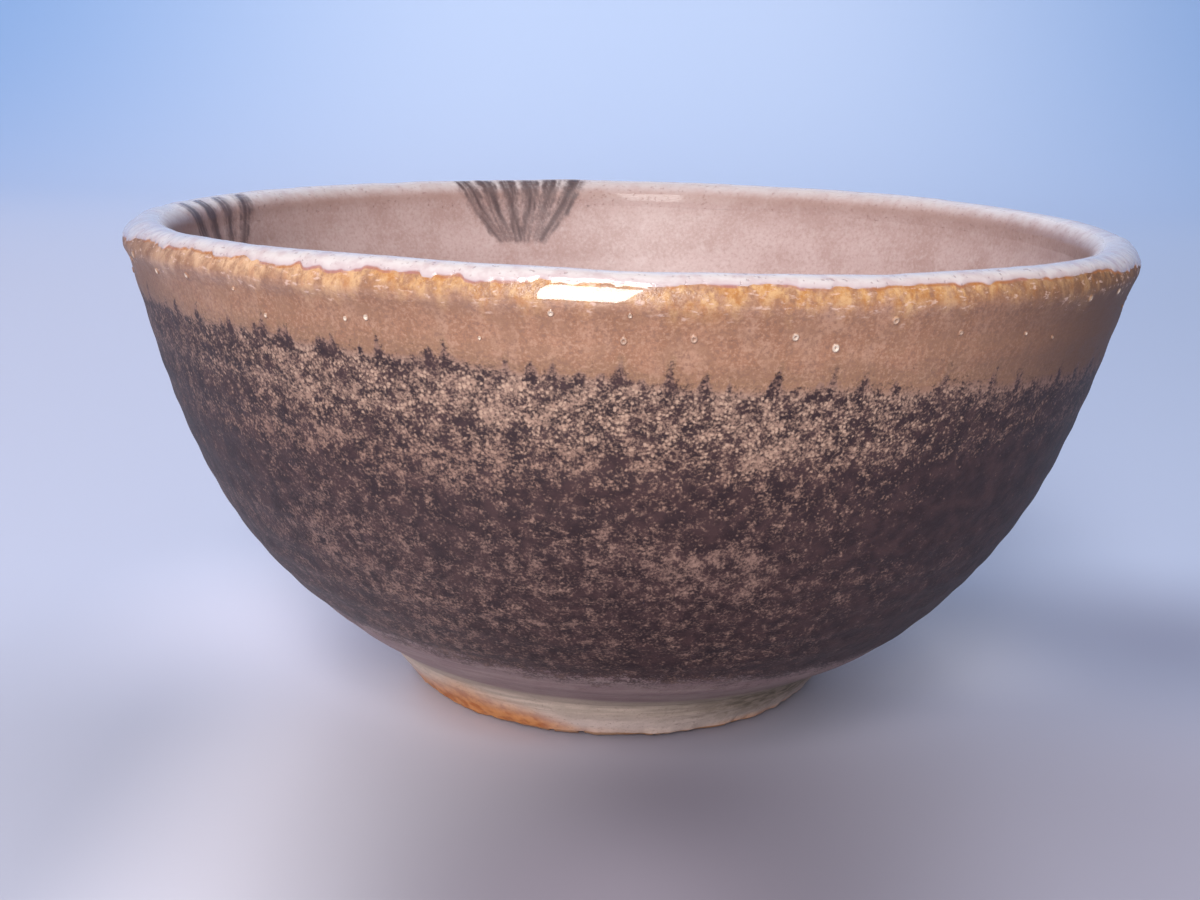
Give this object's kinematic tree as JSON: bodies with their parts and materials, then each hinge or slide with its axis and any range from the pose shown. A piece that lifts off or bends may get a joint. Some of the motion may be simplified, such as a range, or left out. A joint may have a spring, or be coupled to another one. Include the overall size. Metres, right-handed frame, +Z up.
{
  "type": "matcha bowl",
  "caption": "Wheel-thrown stoneware matcha bowl with a trimmed foot ring, a rolled lip, banded iron and ash glazes and iron brushwork inside.",
  "frame": {"origin": "centre of the foot ring's resting face, on the bowl's axis", "axes": "+Z up along the bowl's axis; the side that faces the viewer is -Y"},
  "size_m": [0.128, 0.128, 0.062],
  "materials": {
    "clay_body": "bare fired stoneware, matt, flashed orange at the foot",
    "inner_glaze": "glossy pinkish beige, finely mottled",
    "lip_glaze": "thick glossy pinkish white",
    "amber_runs": "glossy honey amber",
    "brown_band": "glossy salmon brown, streaked",
    "dark_glaze": "dark purple brown iron glaze with fine beige specks, satin gloss",
    "foot_coat": "thin pale grey beige coat, satin",
    "brush_painting": "dark iron pigment under the glaze"
  },
  "bodies": {
    "root": {"clay_body": "clay_body", "inner_glaze": "inner_glaze", "lip_glaze": "lip_glaze", "amber_runs": "amber_runs", "brown_band": "brown_band", "dark_glaze": "dark_glaze", "foot_coat": "foot_coat", "brush_painting": "brush_painting"}
  },
  "joints": []
}
